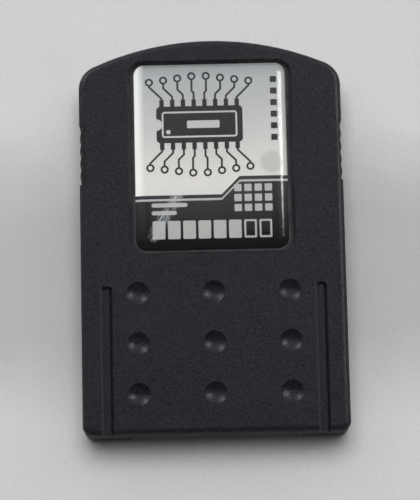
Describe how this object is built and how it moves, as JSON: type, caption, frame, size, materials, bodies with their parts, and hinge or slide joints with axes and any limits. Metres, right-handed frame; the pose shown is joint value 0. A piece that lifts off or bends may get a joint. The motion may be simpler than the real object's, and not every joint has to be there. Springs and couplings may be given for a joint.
{
  "type": "memory card",
  "caption": "Game console memory card: charcoal two-shell case with an arched grip end, guide grooves, dimples, a domed label and contact bays around a circuit board.",
  "frame": {"origin": "on the back face, below the middle of the card's outline", "axes": "+X across the card to the right of the labelled front, +Y from the insertion end to the arched grip end, +Z from the back to the labelled front"},
  "size_m": [0.042, 0.0634, 0.0084],
  "materials": {
    "case_plastic": "fine spark-eroded texture",
    "label_print": "brushed foil with a printed dark field",
    "clear_resin": "clear cast dome, glossy with light scuffs",
    "board_laminate": "green solder mask",
    "contact_gold": "gold plated",
    "chip_resin": "moulded epoxy",
    "tinned_lead": "tin plated",
    "crystal_can": "plated lid on a ceramic base",
    "capacitor_ceramic": "fired ceramic with tinned ends",
    "resistor_film": "glazed film with tinned ends"
  },
  "bodies": {
    "root": {"front_shell": "case_plastic", "back_shell": "case_plastic", "label_foil": "label_print", "label_dome": "clear_resin", "circuit_board": "board_laminate", "contact_1": "contact_gold", "contact_2": "contact_gold", "contact_3": "contact_gold", "contact_4": "contact_gold", "contact_5": "contact_gold", "contact_6": "contact_gold", "contact_7": "contact_gold", "contact_8": "contact_gold", "flash_chip": "chip_resin", "flash_leads": "tinned_lead", "controller_chip": "chip_resin", "controller_leads": "tinned_lead", "crystal": "crystal_can", "capacitor_1": "capacitor_ceramic", "capacitor_2": "capacitor_ceramic", "capacitor_3": "capacitor_ceramic", "capacitor_4": "capacitor_ceramic", "resistor_1": "resistor_film", "resistor_2": "resistor_film", "resistor_3": "resistor_film", "resistor_4": "resistor_film"}
  },
  "joints": []
}
